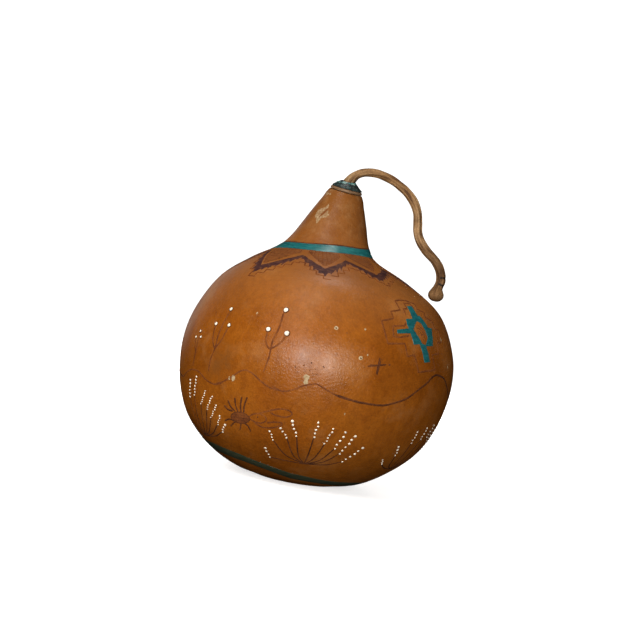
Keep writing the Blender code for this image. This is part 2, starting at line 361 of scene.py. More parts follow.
def paint(shapes, outline, thickness=PAINT_THICKNESS, shaky=0.12):
    """A patch of paint with a hand-cut edge that lies on the curved rind."""
    outline = np.array(outline, float)
    middle = outline.mean(axis=0)
    scale = np.array([math.radians(1) * radius_at(middle[1]), 1.0])
    flat = (outline - middle) * scale
    edge = []
    for here, there in zip(flat, np.roll(flat, -1, axis=0)):
        reach = np.linalg.norm(there - here)
        count = max(1, math.ceil(reach / PAINT_STEP * 1.6))
        aside = np.array([there[1] - here[1], here[0] - there[0]]) / max(reach, 1e-6)
        for share in np.arange(count) / count:
            point = here + (there - here) * share
            shake = noise.noise(Vector((*(point + middle), 3.0)) * 0.9) * shaky
            edge.append(point + aside * shake)
    bm = bmesh.new()
    bm.faces.new([bm.verts.new((*p, 0)) for p in edge])
    bmesh.ops.triangulate(bm, faces=bm.faces, ngon_method="EAR_CLIP")
    low = np.min(edge, axis=0)
    high = np.max(edge, axis=0)
    for axis in (0, 1):
        normal = Vector((1 - axis, axis, 0))
        for place in np.arange(low[axis] + PAINT_STEP / 2, high[axis], PAINT_STEP):
            everything = [*bm.verts, *bm.edges, *bm.faces]
            bmesh.ops.bisect_plane(bm, geom=everything, plane_co=normal * place, plane_no=normal)
    bmesh.ops.remove_doubles(bm, verts=bm.verts, dist=0.01)
    bm.verts.index_update()
    spots = np.array([v.co.xy for v in bm.verts]) / scale + middle
    brushed = []
    for v in bm.verts:
        stroke = noise.noise(Vector((v.co.x * 0.5, v.co.y * 2.2, 7.0)))
        brushed.append(0.02 if v.is_boundary else thickness * (1 + 0.2 * stroke))
    top = on_gourd(spots[:, 0], spots[:, 1], np.array(brushed))
    under = on_gourd(spots[:, 0], spots[:, 1], PAINT_UNDER)
    count = len(spots)
    faces = []
    for face in bm.faces:
        around = [v.index for v in face.verts]
        faces.append(around)
        faces.append([i + count for i in reversed(around)])
    for e in bm.edges:
        if e.is_boundary:
            a, b = (v.index for v in e.verts)
            faces.append((a, b, b + count, a + count))
    bm.free()
    shapes.add([*top, *under], faces)


def band(shapes, edge, thickness, step=1.5):
    """A painted band right round the gourd: edge(angle, side) is its lower edge for side -1."""
    angles = np.arange(0, 360, step)
    low = edge(angles, -1)
    high = edge(angles, 1)
    shares = [(-0.02, PAINT_UNDER), (0.0, 0.02), (0.08, thickness), (0.5, thickness)]
    shares += [(0.92, thickness), (1.0, 0.02), (1.02, PAINT_UNDER)]
    rows = [on_gourd(angles, low + (high - low) * share, lift) for share, lift in shares]
    shapes.tube([list(ring) for ring in zip(*rows)], loop=True)


def dot(shapes, angle, length, width, height=0.4, count=12):
    """A drop of thick paint, not quite round."""
    radius = radius_at(length)
    turn = np.arange(count) * 2 * math.pi / count
    bulge = np.array([noise.noise(Vector((angle, length, t * 0.7))) for t in turn])
    half = width / 2 * (1 + 0.22 * bulge)
    rings = []
    for share, rise in ((0.45, 0.9), (0.8, 0.55), (1.0, 0.1), (1.1, -0.6)):
        side = angle + np.degrees(np.cos(turn) * half * share / radius)
        rings.append(list(on_gourd(side, length + np.sin(turn) * half * share, rise * height)))
    centre = on_gourd(angle, length, height)[0]
    shapes.dome(centre, rings, on_gourd(angle, length, -0.6 * height)[0])


def blot(shapes, angle, length, width, tall):
    """An uneven patch, such as a scar or a scuff."""
    radius = radius_at(length)
    outline = []
    for k in range(BLOT_CORNERS):
        turn = 2 * math.pi * k / BLOT_CORNERS
        bulge = 1 + 0.5 * noise.noise(Vector((angle * 3, length, k * 0.9)))
        side = math.degrees(math.cos(turn) * width / 2 * bulge / radius)
        outline.append((angle + side, length + math.sin(turn) * tall / 2 * bulge))
    paint(shapes, outline, 0.06, shaky=0.2)


def shifted(path, turn=0.0, mirror_at=None):
    """A path moved round the gourd, and mirrored first if an angle to mirror at is given."""
    if mirror_at is not None:
        path = [(2 * mirror_at - angle, length) for angle, length in path]
    return [(angle + turn, length) for angle, length in path]


# --- Materials


class Look:
    """A procedural material made step by step, in the object's own space."""

    def __init__(self, name, roughness=0.5, specular=0.5, coat=0.0, coat_roughness=0.2):
        self.material = bpy.data.materials.new(name)
        self.material.use_nodes = True
        self.tree = self.material.node_tree
        self.shader = self.tree.nodes["Principled BSDF"]
        settings = {"Roughness": roughness, "Specular IOR Level": specular}
        settings |= {"Coat Weight": coat, "Coat Roughness": coat_roughness}
        for name, value in settings.items():
            self.shader.inputs[name].default_value = value
        self.place = self.node("TexCoord").outputs["Object"]

    def feed(self, socket, value):
        """Gives an input a number, a colour, or another node's output to follow."""
        if isinstance(value, bpy.types.NodeSocket):
            self.tree.links.new(value, socket)
        elif socket.type == "RGBA":
            socket.default_value = (*value, 1)
        else:
            socket.default_value = value

    def node(self, kind, *values, **named):
        """A new node. Names in capitals are inputs, the others settings; plain values go in order."""
        made = self.tree.nodes.new("ShaderNode" + kind)
        for name, value in named.items():
            if name[0].isupper():
                self.feed(made.inputs[name.replace("_", " ")], value)
            else:
                setattr(made, name, value)
        for socket, value in zip([s for s in made.inputs if s.enabled], values):
            self.feed(socket, value)
        return made

    def noise(self, size, detail=4.0, rough=0.55, stretch=(1, 1, 1), twist=0.0):
        """Noise with features of about that size in mm, in the object's space stretched by axis."""
        space = self.node("Mapping", Vector=self.place, Scale=stretch).outputs["Vector"]
        shape = {"Scale": 1 / (size * MM), "Detail": detail, "Roughness": rough, "Distortion": twist}
        return self.node("TexNoise", Vector=space, **shape).outputs["Fac"]

    def cells(self, size, output="Distance"):
        """Voronoi cells of about that size in mm."""
        return self.node("TexVoronoi", Vector=self.place, Scale=1 / (size * MM)).outputs[output]

    def stored(self, name):
        """A value that the mesh stores at each of its points."""
        return self.node("Attribute", attribute_name=name).outputs["Fac"]

    def ramp(self, source, *stops):
        """Colours or greys at places from 0 to 1."""
        made = self.node("ValToRGB", source)
        elements = made.color_ramp.elements
        while len(elements) < len(stops):
            elements.new(0.5)
        for element, (place, colour) in zip(elements, stops):
            element.position = place
            element.color = (*colour, 1) if isinstance(colour, tuple) else (colour, colour, colour, 1)
        return made.outputs["Color"]

    def mix(self, share, first, second, blend="MIX"):
        """One colour blended into another."""
        made = self.node("Mix", share, first, second, data_type="RGBA", blend_type=blend)
        return next(s for s in made.outputs if s.enabled)

    def shade(self, share, colour, darkness):
        """A colour multiplied by another, or by a grey."""
        return self.mix(share, colour, darkness, "MULTIPLY")

    def times(self, first, second):
        """Two values multiplied."""
        return self.node("Math", first, second, operation="MULTIPLY").outputs["Value"]

    def height(self):
        """How high a point is, in mm."""
        return self.times(self.node("SeparateXYZ", self.place).outputs["Z"], 1 / MM)

    def near(self, place, reach):
        """1 at a place on the rattle, and 0 from so many mm away from it."""
        distance = self.node("VectorMath", self.place, tuple(place), operation="DISTANCE")
        return self.between(distance.outputs["Value"], reach * MM, 0.3 * reach * MM)

    def between(self, value, low, high, start=0.0, end=1.0):
        """A value from low to high, turned into one from start to end."""
        made = self.node("MapRange", Value=value, From_Min=low, From_Max=high, To_Min=start, To_Max=end)
        return made.outputs["Result"]

    def finished(self, colour, rough, *bumps):
        """The material, with a colour, roughness as (texture, low, high) or None for an even one,
        and bumps one on another, each as (texture, depth in mm)."""
        self.feed(self.shader.inputs["Base Color"], colour)
        if rough:
            texture, low, high = rough
            self.feed(self.shader.inputs["Roughness"], self.between(texture, 0.25, 0.75, low, high))
        below = {}
        for texture, depth in bumps:
            made = self.node("Bump", Strength=1.0, Distance=depth * MM, Height=texture, **below)
            below = {"Normal": made.outputs["Normal"]}
        for normal in below.values():
            self.feed(self.shader.inputs["Normal"], normal)
        return self.material


def rind_look():
    """Orange-brown dye under varnish: broad patches, fine mottling, pores, and small pale scuffs, with
    painted shade and light low down and a painted sheen high on the body.
    """
    look = Look("dyed_rind", specular=0.34, coat=0.09, coat_roughness=0.23)
    deep_dye, dye, thin_dye = (0.18, 0.047, 0.0023), (0.235, 0.066, 0.004), (0.285, 0.089, 0.007)
    dyed = look.ramp(look.noise(52, 3, 0.5), (0.3, deep_dye), (0.5, dye), (0.72, thin_dye))
    mottle = look.noise(4.5, 6, 0.66, twist=0.4)
    spots = look.ramp(mottle, (0.3, (0.8, 0.74, 0.66)), (0.5, 1.0), (0.7, (1.1, 1.14, 1.25)))
    dyed = look.shade(0.9, dyed, spots)
    grain = look.ramp(look.noise(1.4, 3, 0.6), (0.3, 0.82), (0.65, 1.06))
    dyed = look.shade(0.9, dyed, grain)
    streaks = look.ramp(look.noise(7, 4, 0.6, (1, 1, 0.12)), (0.36, 0.8), (0.58, 1.05))
    dyed = look.shade(0.4, dyed, streaks)
    # painted shade and light: a little darker at the very foot and a little lighter a few cm above it
    foot_shade_and_light = look.ramp(look.between(look.height(), 0, 70), (0.0, 0.95), (0.5, 1.1), (1.0, 1.0))
    dyed = look.shade(0.8, dyed, foot_shade_and_light)
    # painted sheen: high on the body the dye turns paler and greyer, as light from above would gloss it
    painted_shoulder_sheen = look.ramp(look.between(look.height(), 95, 150), (0.0, 0.0), (0.6, 0.3), (1.0, 0.2))
    dyed = look.mix(painted_shoulder_sheen, dyed, (0.29, 0.135, 0.05))
    neck = look.ramp(look.between(look.height(), 148, 196), (0.0, 0.0), (0.35, 0.42), (1.0, 0.62))
    dyed = look.mix(neck, dyed, (0.125, 0.047, 0.012))
    worn = look.mix(neck, (0.0, 0.0, 0.0), look.ramp(look.noise(7, 5, 0.65), (0.5, 0.0), (0.66, 0.5)))
    dyed = look.mix(worn, dyed, (0.33, 0.19, 0.08))
    haze = look.ramp(look.noise(24, 6, 0.7), (0.52, 0.0), (0.76, 0.45))
    dyed = look.mix(haze, dyed, (0.34, 0.155, 0.052))
    scuffs = look.ramp(look.noise(3.2, 5, 0.75), (0.7, 0.0), (0.76, 0.6))
    dyed = look.mix(scuffs, dyed, (0.42, 0.25, 0.11))
    blotchy = look.ramp(look.noise(9, 5, 0.6), (0.42, 0.0), (0.6, 0.85))
    for angle, length, reach in STAINS:
        stain = look.times(blotchy, look.near(on_gourd(angle, length)[0], reach))
        dyed = look.mix(stain, dyed, (0.165, 0.056, 0.01))
    scratches = look.ramp(look.noise(2.2, 6, 0.75, (1, 1, 0.35)), (0.5, 0.0), (0.66, 0.55))
    for angle, length, reach in SCUFFED:
        scuffed = look.times(scratches, look.near(on_gourd(angle, length)[0], reach))
        dyed = look.mix(scuffed, dyed, (0.42, 0.29, 0.17))
    freckles = look.ramp(look.cells(6.5), (0.035, 0.7), (0.075, 0.0))
    dyed = look.mix(freckles, dyed, (0.09, 0.032, 0.008))
    pores = look.noise(1.25, 3, 0.6)
    dents = look.noise(5, 4, 0.6)
    return look.finished(dyed, (look.noise(16, 5, 0.6), 0.26, 0.4), (pores, 0.24), (dents, 0.06))


def pith_look():
    """The dry, spongy inside of the gourd."""
    look = Look("dry_pith", roughness=0.9, specular=0.2)
    colour = look.ramp(look.noise(6, 6, 0.65), (0.3, (0.34, 0.22, 0.11)), (0.7, (0.58, 0.45, 0.29)))
    return look.finished(colour, None, (look.noise(1.6, 5, 0.7), 0.5))


def stem_look():
    """Dull dry bark: tan with dark streaks and painted shade in its furrows, darker towards its end, painted
    shade at its foot, and two nearly black scars.
    """
    look = Look("dry_stem", specular=0.18)
    grain = look.stored("grain")
    # painted shade: the grain follows the ribs, fibres and lumps that shape the stem, so the bark is darkest
    # where it sinks and palest on its ridges, with real streaks in it
    furrow_shade, tan, rib = (0.1, 0.048, 0.02), (0.25, 0.14, 0.06), (0.38, 0.235, 0.115)
    bark = look.ramp(grain, (0.12, furrow_shade), (0.4, tan), (0.85, rib))
    flecks = look.ramp(look.noise(1.2, 5, 0.7), (0.38, 0.55), (0.55, 1.05))
    bark = look.shade(0.55, bark, flecks)
    patches = look.ramp(look.noise(14, 3, 0.5), (0.38, 0.7), (0.6, 1.1))
    bark = look.shade(0.7, bark, patches)
    bark = look.shade(1.0, bark, look.ramp(look.stored("along"), *STEM_TONES_AND_FOOT_SHADE))
    bark = look.mix(look.stored("scars"), bark, (0.008, 0.005, 0.004))
    fibres = look.noise(0.9, 4, 0.7)
    return look.finished(bark, (look.noise(4, 4, 0.6), 0.5, 0.78), (fibres, 0.16), (grain, 0.12))


def cap_look():
    """The turned plug: wood grain under the same dye."""
    look = Look("turned_plug", specular=0.4, coat=0.15, coat_roughness=0.3)
    grain = look.noise(2.4, 5, 0.6, (1, 1, 5))
    dark, middle, pale = (0.09, 0.04, 0.018), (0.16, 0.09, 0.044), (0.25, 0.165, 0.095)
    colour = look.ramp(grain, (0.3, dark), (0.5, middle), (0.75, pale))
    return look.finished(colour, (look.noise(3, 3), 0.4, 0.6), (grain, 0.12))


def resin_look():
    """Nearly black resin full of stone dust."""
    look = Look("inlay_resin", specular=0.5, coat=0.3, coat_roughness=0.12)
    grains = look.cells(0.9, output="Color")
    dust = look.ramp(grains, (0.5, (0.008, 0.016, 0.018)), (0.85, (0.03, 0.085, 0.085)))
    cloud = look.ramp(look.noise(2.5, 4), (0.4, 0.012), (0.65, (0.05, 0.06, 0.055)))
    colour = look.mix(0.5, dust, cloud)
    return look.finished(colour, (look.noise(1.5, 4), 0.25, 0.5), (look.noise(0.8, 3), 0.1))


def stone_look():
    """Crushed turquoise and pale stone, each chip its own shade."""
    look = Look("stone_chips", specular=0.5)
    chips = look.ramp(look.cells(2.2, output="Color"), *CHIP_SHADES)
    veins = look.ramp(look.noise(0.7, 4, 0.7), (0.38, 0.45), (0.5, 1.0))
    colour = look.shade(0.7, chips, veins)
    return look.finished(colour, (look.noise(1.2, 3), 0.25, 0.5), (look.noise(0.6, 4), 0.06))


def paint_look(name, dark, middle, light, rough=(0.3, 0.5), coat=0.1, wear=0.72, gloss=0.5):
    """Brushed paint: strokes round the gourd, thin places, and the dye showing where it is worn."""
    look = Look(name, specular=gloss, coat=coat, coat_roughness=0.22)
    strokes = look.noise(5, 6, 0.65, (1, 1, 4.5), twist=0.3)
    pigment = look.ramp(strokes, (0.28, dark), (0.5, middle), (0.75, light))
    specks = look.ramp(look.noise(1.3, 4, 0.7), (0.35, 0.75), (0.6, 1.08))
    pigment = look.shade(0.6, pigment, specks)
    bare = look.ramp(look.noise(2.6, 6, 0.75), (wear, 0.0), (wear + 0.05, 0.85))
    colour = look.mix(bare, pigment, (0.2, 0.09, 0.03))
    return look.finished(colour, (look.noise(4, 5, 0.6), *rough), (strokes, 0.08), (look.noise(0.9, 3), 0.03))


def burnt_look(name, dark, light):
    """A line burnt into the rind: charred in places, scorched brown in others."""
    look = Look(name, roughness=0.75, specular=0.25)
    char = look.ramp(look.noise(7, 5, 0.65), (0.36, dark), (0.66, light))
    ash = look.ramp(look.noise(0.8, 3, 0.6), (0.35, 0.6), (0.6, 1.15))
    return look.finished(look.shade(0.6, char, ash), None, (look.noise(0.5, 3), 0.06))


def dot_look():
    """Thick cream paint with a chalky grain and a little grime."""
    look = Look("cream_paint", specular=0.4)
    chalk = look.ramp(look.noise(1.1, 4, 0.6), (0.3, (0.62, 0.53, 0.4)), (0.55, (0.86, 0.81, 0.7)))
    grime = look.ramp(look.noise(9, 3, 0.5), (0.35, 0.72), (0.55, 1.0))
    colour = look.shade(0.8, chalk, grime)
    return look.finished(colour, (look.noise(1.5, 3), 0.45, 0.7), (look.noise(0.5, 3), 0.05))


def scar_look(name, dark, middle, light):
    """Bare, dry rind where the skin has flaked off."""
    look = Look(name, roughness=0.8, specular=0.25)
    colour = look.ramp(look.noise(1.3, 6, 0.7), (0.32, dark), (0.5, middle), (0.7, light))
    return look.finished(colour, None, (look.noise(0.9, 5, 0.7), 0.15))


def seed_look():
    """Dry seeds: pale tan with a paler rim and papery skin."""
    look = Look("dry_seed", specular=0.3)
    brown, tan, pale = (0.3, 0.2, 0.1), (0.55, 0.42, 0.25), (0.68, 0.57, 0.38)
    colour = look.ramp(look.noise(3, 5, 0.6, (1, 1, 3)), (0.3, brown), (0.6, tan), (0.8, pale))
    return look.finished(colour, (look.noise(2, 3), 0.5, 0.75), (look.noise(0.6, 4, 0.6), 0.08))


# --- The gourd, its cap and crown


def inner_outline():
    """The cavity's outline, one wall in from the gourd's, from under the mouth to the floor."""
    outer = curve_through(OUTLINE, 2)
    inner = []
    for before, here, after in zip(outer, outer[1:], outer[2:]):
        across, along = (after - before)[:2] / np.hypot(*(after - before)[:2])
        radius = here[0] - along * WALL
        height = here[1] + across * WALL
        if WALL < height < TIP_HEIGHT - MOUTH_DEPTH - 2 * WALL:
            inner.append((radius, height, here[2], here[3]))
    return [*reversed(inner), (OUTLINE[0][0], WALL, 0, 0)]


def gourd_rind():
    """The hollow gourd: the grown skin outside, and the pith inside."""
    angles = np.arange(RIND_AROUND) * 360 / RIND_AROUND
    rings = []
    # the foot, with the scar of the flower in the middle of it
    for radius, height in ((1.5, 1.1), (4.0, 0.9), (6.5, 0.35), (9, 0.0), (17, 0.0), (22, 0.0)):
        wavy = np.array([noise.noise(Vector((a / 20, radius, 1))) for a in angles])
        radii = radius * (1 + 0.08 * wavy * (height > 0))
        rings.append(ring_point(angles, radii, height, 0, 0) * MM)
    steps = round(TOP_LENGTH / RIND_STEP)
    for length in np.linspace(0, TOP_LENGTH - 0.5, steps):
        rings.append(on_gourd(angles, np.full(RIND_AROUND, length)))
    outside = len(rings)
    x, y = OUTLINE[-1][2:]
    for radius, height in ((10.3, -0.1), (8.2, -0.05), (MOUTH_RADIUS, 0), (MOUTH_RADIUS, -MOUTH_DEPTH)):
        place = ring_point(angles, radius, TIP_HEIGHT, x, y) * MM
        up = np.array(mouth_matrix().to_3x3() @ Vector((0, 0, height * MM)))
        rings.append(place + up)
    for radius, height, x, y in inner_outline():
        rings.append(ring_point(angles, radius, height, x, y) * MM)
    shapes = Shapes()
    shapes.tube([list(ring) for ring in rings])
    mesh = shapes.mesh("gourd_rind", 60)
    mesh.materials.append(rind_look())
    mesh.materials.append(pith_look())
    for face in mesh.polygons:
        lowest = min(face.vertices) // RIND_AROUND
        face.material_index = 1 if lowest >= outside + 1 else 0
    piece("gourd_rind", mesh, replaces="gourd_shell")


def turned_rings(outline, waver):
    """Rings round the mouth's axis, each a little out of round."""
    mouth = mouth_matrix()
    rings = []
    for radius, height in outline:
        ring = []
        for k in range(TURNED_AROUND):
            turn = 2 * math.pi * k / TURNED_AROUND
            out = Vector((math.cos(turn), math.sin(turn), 0))
            off = waver * noise.noise((out + Vector((0, 0, height * 0.4))) * 1.7)
            ring.append(mouth @ ((out * (radius + off) + Vector((0, 0, height))) * MM))
        rings.append(ring)
    return rings


def neck_cap():
    """The plug: a rounded bead round the mouth, and a cone that the crown lies on."""
    outline = [(5.2, -8), (5.9, -7.5), (5.95, 0.15), (10.1, 0.2), (10.5, 0.4), (10.7, 0.95)]
    outline += [(10.6, 1.55), (10.25, 2.0), (9.7, 2.2), (8.9, 2.45), (4.6, 6.0), (4.55, 6.25)]
    outline += [(2.45, 6.25), (2.45, 0.4)]
    shapes = Shapes()
    shapes.tube(turned_rings(outline, 0.1))
    on_rattle("turned_cap", shapes, cap_look(), 45, replaces="neck_cap")


def crown():
    """The inlaid ring: dark resin poured round the stem's foot, set with chips of stone."""
    section = [(9.3, 2.65), (9.95, 2.4), (10.15, 2.65), *CROWN_FACE, (4.45, 6.85), (4.6, 6.3), (6.9, 4.5)]
    shapes = Shapes()
    shapes.tube(turned_rings(section, 0.12), loop=True)
    on_rattle("crown_resin", shapes, resin_look(), 60, replaces="crown_inlay")
    chips = Shapes()
    mouth = mouth_matrix()
    outer, inner = CROWN_FACE[0][0], CROWN_FACE[-1][0]
    sideways = Vector((0, 1, 0))
    upwards = CHIP_FACING.cross(sideways)
    for k in range(CHIP_COUNT):
        turn = k * CHIP_TURN + random.uniform(-0.2, 0.2)
        radius = inner + (outer - inner) * ((k * CHIP_SHARE) % 1)
        centre = Vector((radius, 0, np.interp(radius, *zip(*CROWN_FACE[::-1]))))
        width = random.uniform(0.55, 1.35)
        sides = random.choice((5, 6, 7))
        start = random.uniform(0, 6)
        spin = mouth @ Matrix.Rotation(turn, 4, "Z")
        rings = []
        for rise, scale in ((-0.5, 0.9), (0.1, 1.0), (0.22, 0.78)):
            ring = []
            for i in range(sides):
                around = start + 2 * math.pi * i / sides
                reach = width * scale * (1 + 0.25 * math.sin(around * 2 + k))
                aside = sideways * math.cos(around) + upwards * math.sin(around) * 0.8
                ring.append(spin @ ((centre + aside * reach + CHIP_FACING * rise) * MM))
            rings.append(ring)
        chips.tube(rings)
    on_rattle("crown_chips", chips, stone_look(), 25)


# --- The stem


def stem_radius(along, total):
    body = STEM_RADIUS + (STEM_END_RADIUS - STEM_RADIUS) * along / total
    foot = (STEM_FOOT_RADIUS - STEM_RADIUS) * (1 - smooth_step(along, 0, STEM_FOOT_LENGTH))
    t = max(0.0, (along - total + KNOB_LENGTH) / KNOB_LENGTH)
    knob = (KNOB_RADIUS - STEM_END_RADIUS) * smooth_step(t, 0, 0.55)
    rounded = math.sqrt(max(0.0, 1 - (max(0.0, t - 0.6) / 0.43) ** 2))
    return (body + foot + knob) * rounded


def stem():
    """The dried stem: seven twisting ribs, small knots, two dark scars, and the knob at its end."""
    mouth = mouth_matrix()
    foot = mouth @ Vector((0, 0, (CAP_TOP + FIT_GAP) * MM))
    up = (mouth.to_3x3() @ Vector((0, 0, 1))).normalized()
    route = [Vector(p) for p in curve_through([foot / MM, *STEM_ROUTE], STEM_STEPS)]
    lengths = [0.0]
    for a, b in zip(route, route[1:]):
        lengths.append(lengths[-1] + (b - a).length)
    total = lengths[-1]
    turn = mouth.to_3x3()
    heading = up
    rings = []
    grain = []
    scars = []
    alongs = []
    angles = [2 * math.pi * i / STEM_AROUND for i in range(STEM_AROUND)]
    for depth, radius in zip((STEM_ROOT_DEPTH, 0), STEM_ROOT_RADII):
        base = foot / MM - up * depth
        rings.append([(base + turn @ Vector((math.cos(a), math.sin(a), 0)) * radius) * MM for a in angles])
        grain += [0.4] * STEM_AROUND
        scars += [0.0] * STEM_AROUND
        alongs += [0.0] * STEM_AROUND
    for i, point in enumerate(route):
        ahead = (route[min(i + 1, len(route) - 1)] - route[max(i - 1, 0)]).normalized()
        ahead = up.lerp(ahead, float(smooth_step(lengths[i], 0, STEM_FOOT_LENGTH))).normalized()
        turn = heading.rotation_difference(ahead).to_matrix() @ turn
        heading = ahead
        radius = stem_radius(lengths[i], total)
        knob_share = smooth_step(lengths[i], total - KNOB_LENGTH, total - 4)
        scar = max(math.exp(-(((total - lengths[i] - r) / 0.65) ** 2)) for r in STEM_SCARS)
        ring = []
        for a in angles:
            twist = a + lengths[i] * 0.012 + 0.25 * math.sin(lengths[i] * 0.05)
            along = Vector((math.cos(twist) * 1.6, math.sin(twist) * 1.6, lengths[i] * 0.035))
            rib = 0.5 + 0.5 * math.cos(STEM_RIDGES * twist + 1.5 * noise.noise(along))
            fibre = noise.noise(Vector((along.x * 4.2, along.y * 4.2, lengths[i] * 0.07)))
            lump = noise.noise(Vector((along.x, along.y, lengths[i] * 0.12)))
            out = turn @ Vector((math.cos(a), math.sin(a), 0))
            cut = scar * float(smooth_step(out.x, -0.5, -0.15))
            depth = 0.2 * (1 - 0.75 * knob_share) * (rib**0.6 - 1) + 0.14 * (fibre - 0.5)
            depth += (0.34 - 0.24 * knob_share) * (lump - 0.5) - 0.16 * cut
            reach = max(0.05, radius + depth * min(1.0, radius / 2))
            ring.append((point + out * reach) * MM)
            ring_noise = noise.noise(Vector((math.cos(a), math.sin(a), i)) * 2)
            # painted shade: this grain follows the same ribs, fibres and lumps as the surface's depth, so
            # sunken places come out dark
            streaks_and_furrow_shade = (1 - 0.6 * knob_share) * (0.17 * rib + 0.55 * fibre) + 0.5 * lump
            grain.append(min(1.0, max(0.0, 0.36 + 0.12 * knob_share + streaks_and_furrow_shade)))
            scars.append(min(1.0, cut * (1.25 + 0.4 * ring_noise)))
            alongs.append(lengths[i] / total)
        rings.append(ring)
    shapes = Shapes()
    shapes.tube(rings)
    mesh = shapes.mesh("ribbed_stem", 60)
    for name, values in (("grain", grain), ("scars", scars), ("along", alongs)):
        mesh.attributes.new(name, "FLOAT", "POINT").data.foreach_set("value", values)
    mesh.materials.append(stem_look())
    piece("ribbed_stem", mesh, replaces="stem")


# --- The seeds


def seeds():
    """Finer seeds that lie where the part's seeds lie, each with a raised rim."""
    look = seed_look()
    around = np.arange(SEED_AROUND) * 2 * math.pi / SEED_AROUND
    side = np.cos(around)
    rim = 1 - 0.3 * np.exp(-(((abs(side) - 0.78) / 0.12) ** 2))
    for name in (f"seed_{number:02d}" for number in range(1, 25)):
        points = np.array([v.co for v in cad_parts[name].data.vertices])
        middle = points.mean(axis=0)
        axes = np.linalg.svd(points - middle, full_matrices=False)[2]
        spread = (points - middle) @ axes.T
        low = spread.min(axis=0)
        high = spread.max(axis=0)
        half = (high - low) / 2
        centre = middle + (low + high) / 2 @ axes
        shapes = Shapes()
        rings = []
        for share, wide, thick in SEED_SECTIONS:
            local = np.stack([np.full(SEED_AROUND, share), wide * side, thick * np.sin(around) * rim], axis=1)
            rings.append(list(centre + local * half @ axes))
        shapes.tube(rings)
        mesh = shapes.mesh(f"{name}_fine", 60)
        mesh.materials.append(look)
        piece(f"{name}_fine", mesh, body=f"{name}_body", replaces=name)


# --- The neck: band, collar, scar

# The zigzag's turning points round the neck: (angle, length), back to the first after a full turn
COLLAR = [
    (-58.5, 195), (-43, 168.5), (-20.5, 191), (-3.5, 175), (14, 193.5), (32, 180.5), (51, 194), (71, 180),
    (91, 194), (111, 180), (132, 193), (153, 178), (174, 192), (195, 175), (217, 191), (238, 171),
    (260, 193), (281, 169), (301.5, 195),
]
COLLAR_HALF = 2.1  # at a peak; it is wider towards each valley
COLLAR_SWELL = 1.5
NECK_SCAR = [(-48.5, 234.5), (-50, 239), (-43.5, 240.5), (-37, 242), (-33, 245.5), (-26, 240)]
NECK_SCAR += [(-19, 237), (-23.5, 234.5), (-30, 233.5), (-31.5, 231), (-33, 228), (-39, 231.5)]
NECK_SCAR_HEART = [(-26.8, 240.6), (-29.6, 242), (-34, 238.6), (-37, 234.6), (-36, 233.4), (-31, 236)]
NECK_SCAR_CRACKS = [
    [(-46, 238.5), (-40, 237), (-37, 234)],
    [(-40, 240.5), (-37, 238), (-35.5, 232.5)],
    [(-28, 240.5), (-26, 237.5), (-27, 235)],
]
NECK_BAND_MIDDLE = 210.6
NECK_BAND_TILT = 4.6
NECK_BAND_LOWEST = -60  # the angle at which the band sits lowest
NECK_BAND_HALF = 3.9
NECK_BAND_TAPER = 0.7


def round_gourd(places, angle):
    """Reads a table of (angle, length) that goes once round, at any angle."""
    start = places[0][0]
    turned = (np.asarray(angle, float) - start) % 360 + start
    return np.interp(turned, *zip(*places))


def collar(angle):
    return round_gourd(COLLAR, angle)


def collar_half(angle):
    """Half the zigzag's width, which grows from its peaks down to its valleys."""
    return COLLAR_HALF + COLLAR_SWELL * (1 - smooth_step(collar(angle), 172, 190))


def neck_band(angle, side):
    """The neck band's edge: side is -1 for the lower one and 1 for the upper one."""
    angle = np.asarray(angle, float)
    middle = NECK_BAND_MIDDLE - NECK_BAND_TILT * np.cos(np.radians(angle - NECK_BAND_LOWEST))
    wavy = 0.3 * np.sin(np.radians(angle * 5 + 40 * side))
    return middle + side * (NECK_BAND_HALF - NECK_BAND_TAPER * np.sin(np.radians(angle))) + wavy


def teeth(angle, period, depth):
    """Sharp teeth along an edge, steep on one side."""
    return depth * np.clip(1 - angle % period / period / 0.62, 0, 1)


def collar_edge(angle, side):
    """The zigzag's edge: nearly plain for side 1, and hung with long uneven teeth for side -1."""
    edge = collar(angle) + side * collar_half(angle)
    if side > 0:
        return edge + teeth(angle + 1, 6, 0.6)
    long_teeth = teeth(angle, 3.3, 3.8) * (0.75 + 0.35 * np.sin(angle * 0.31))
    return edge - long_teeth - teeth(angle + 1.1, 2.4, 1.1)


def hatched_triangle(layers, angle, apex, left, right):
    """A stained triangle that hangs from the neck band by its base, with crossed strokes on it."""
    lines = layers["collar_hatching"]
    top = float(neck_band(angle, -1)) - 1.0
    tall = top - apex
    edge = []
    for side in (left, right):
        steps = []
        for k in range(5):
            turned = angle + side * (k + 0.4) / 5
            steps += [(turned, apex + tall * k / 5), (turned, apex + tall * (k + 1) / 5)]
        edge += steps if side == right else steps[::-1]
    paint(layers["collar_stain"], edge, 0.035)
    rows = 7
    for k in range(1, rows + 1):
        share = k / rows
        level = apex + tall * share
        burn(lines, [(angle + left * share * 0.95, level), (angle + right * share * 0.95, level)], 0.55)
    columns = 9
    for k in range(columns + 1):
        side = left + (right - left) * k / columns
        share = abs(side / (left if side < 0 else right))
        burn(lines, [(angle + side, apex + tall * share + 0.2), (angle + side * 0.94, top)], 0.6)
    burn(lines, edge, 0.7, corners=True)


